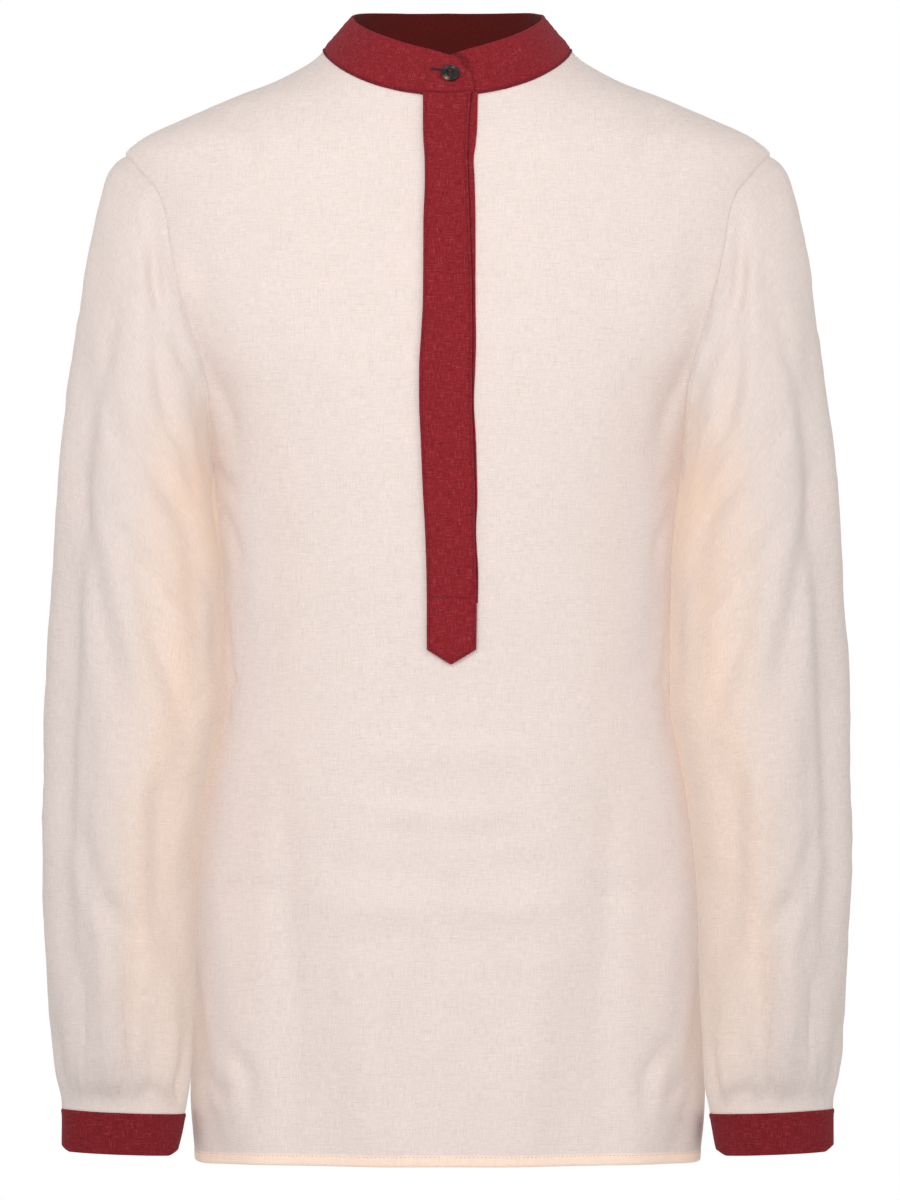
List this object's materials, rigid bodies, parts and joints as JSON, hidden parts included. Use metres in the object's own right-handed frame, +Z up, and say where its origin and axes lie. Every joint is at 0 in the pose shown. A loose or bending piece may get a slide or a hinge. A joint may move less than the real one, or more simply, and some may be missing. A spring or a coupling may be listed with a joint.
{
  "type": "blouse",
  "caption": "Long-sleeved popover blouse, filled out with no wearer: stand collar, buttoned half placket with a pointed foot, sleeves drawn into narrow cuffs, straight hem.",
  "frame": {"origin": "midway between the neck points of the shoulder seams and 3.5 mm below them, where the wearer's shoulders carry the blouse", "axes": "+Z up along the centre line towards the collar, -Y out of the front, +X towards the wearer's left side"},
  "size_m": [0.5068, 0.2518, 0.723],
  "materials": {
    "cream_linen": "matt plain-woven linen with slubs",
    "red_linen": "matt plain-woven linen",
    "dark_horn": "polished dark horn"
  },
  "bodies": {
    "root": {"front": "cream_linen", "back": "cream_linen", "sleeve_left": "cream_linen", "sleeve_right": "cream_linen", "cuff_left": "red_linen", "cuff_right": "red_linen", "collar": "red_linen", "placket_top": "red_linen", "placket_under": "red_linen", "button": "dark_horn"}
  },
  "joints": []
}
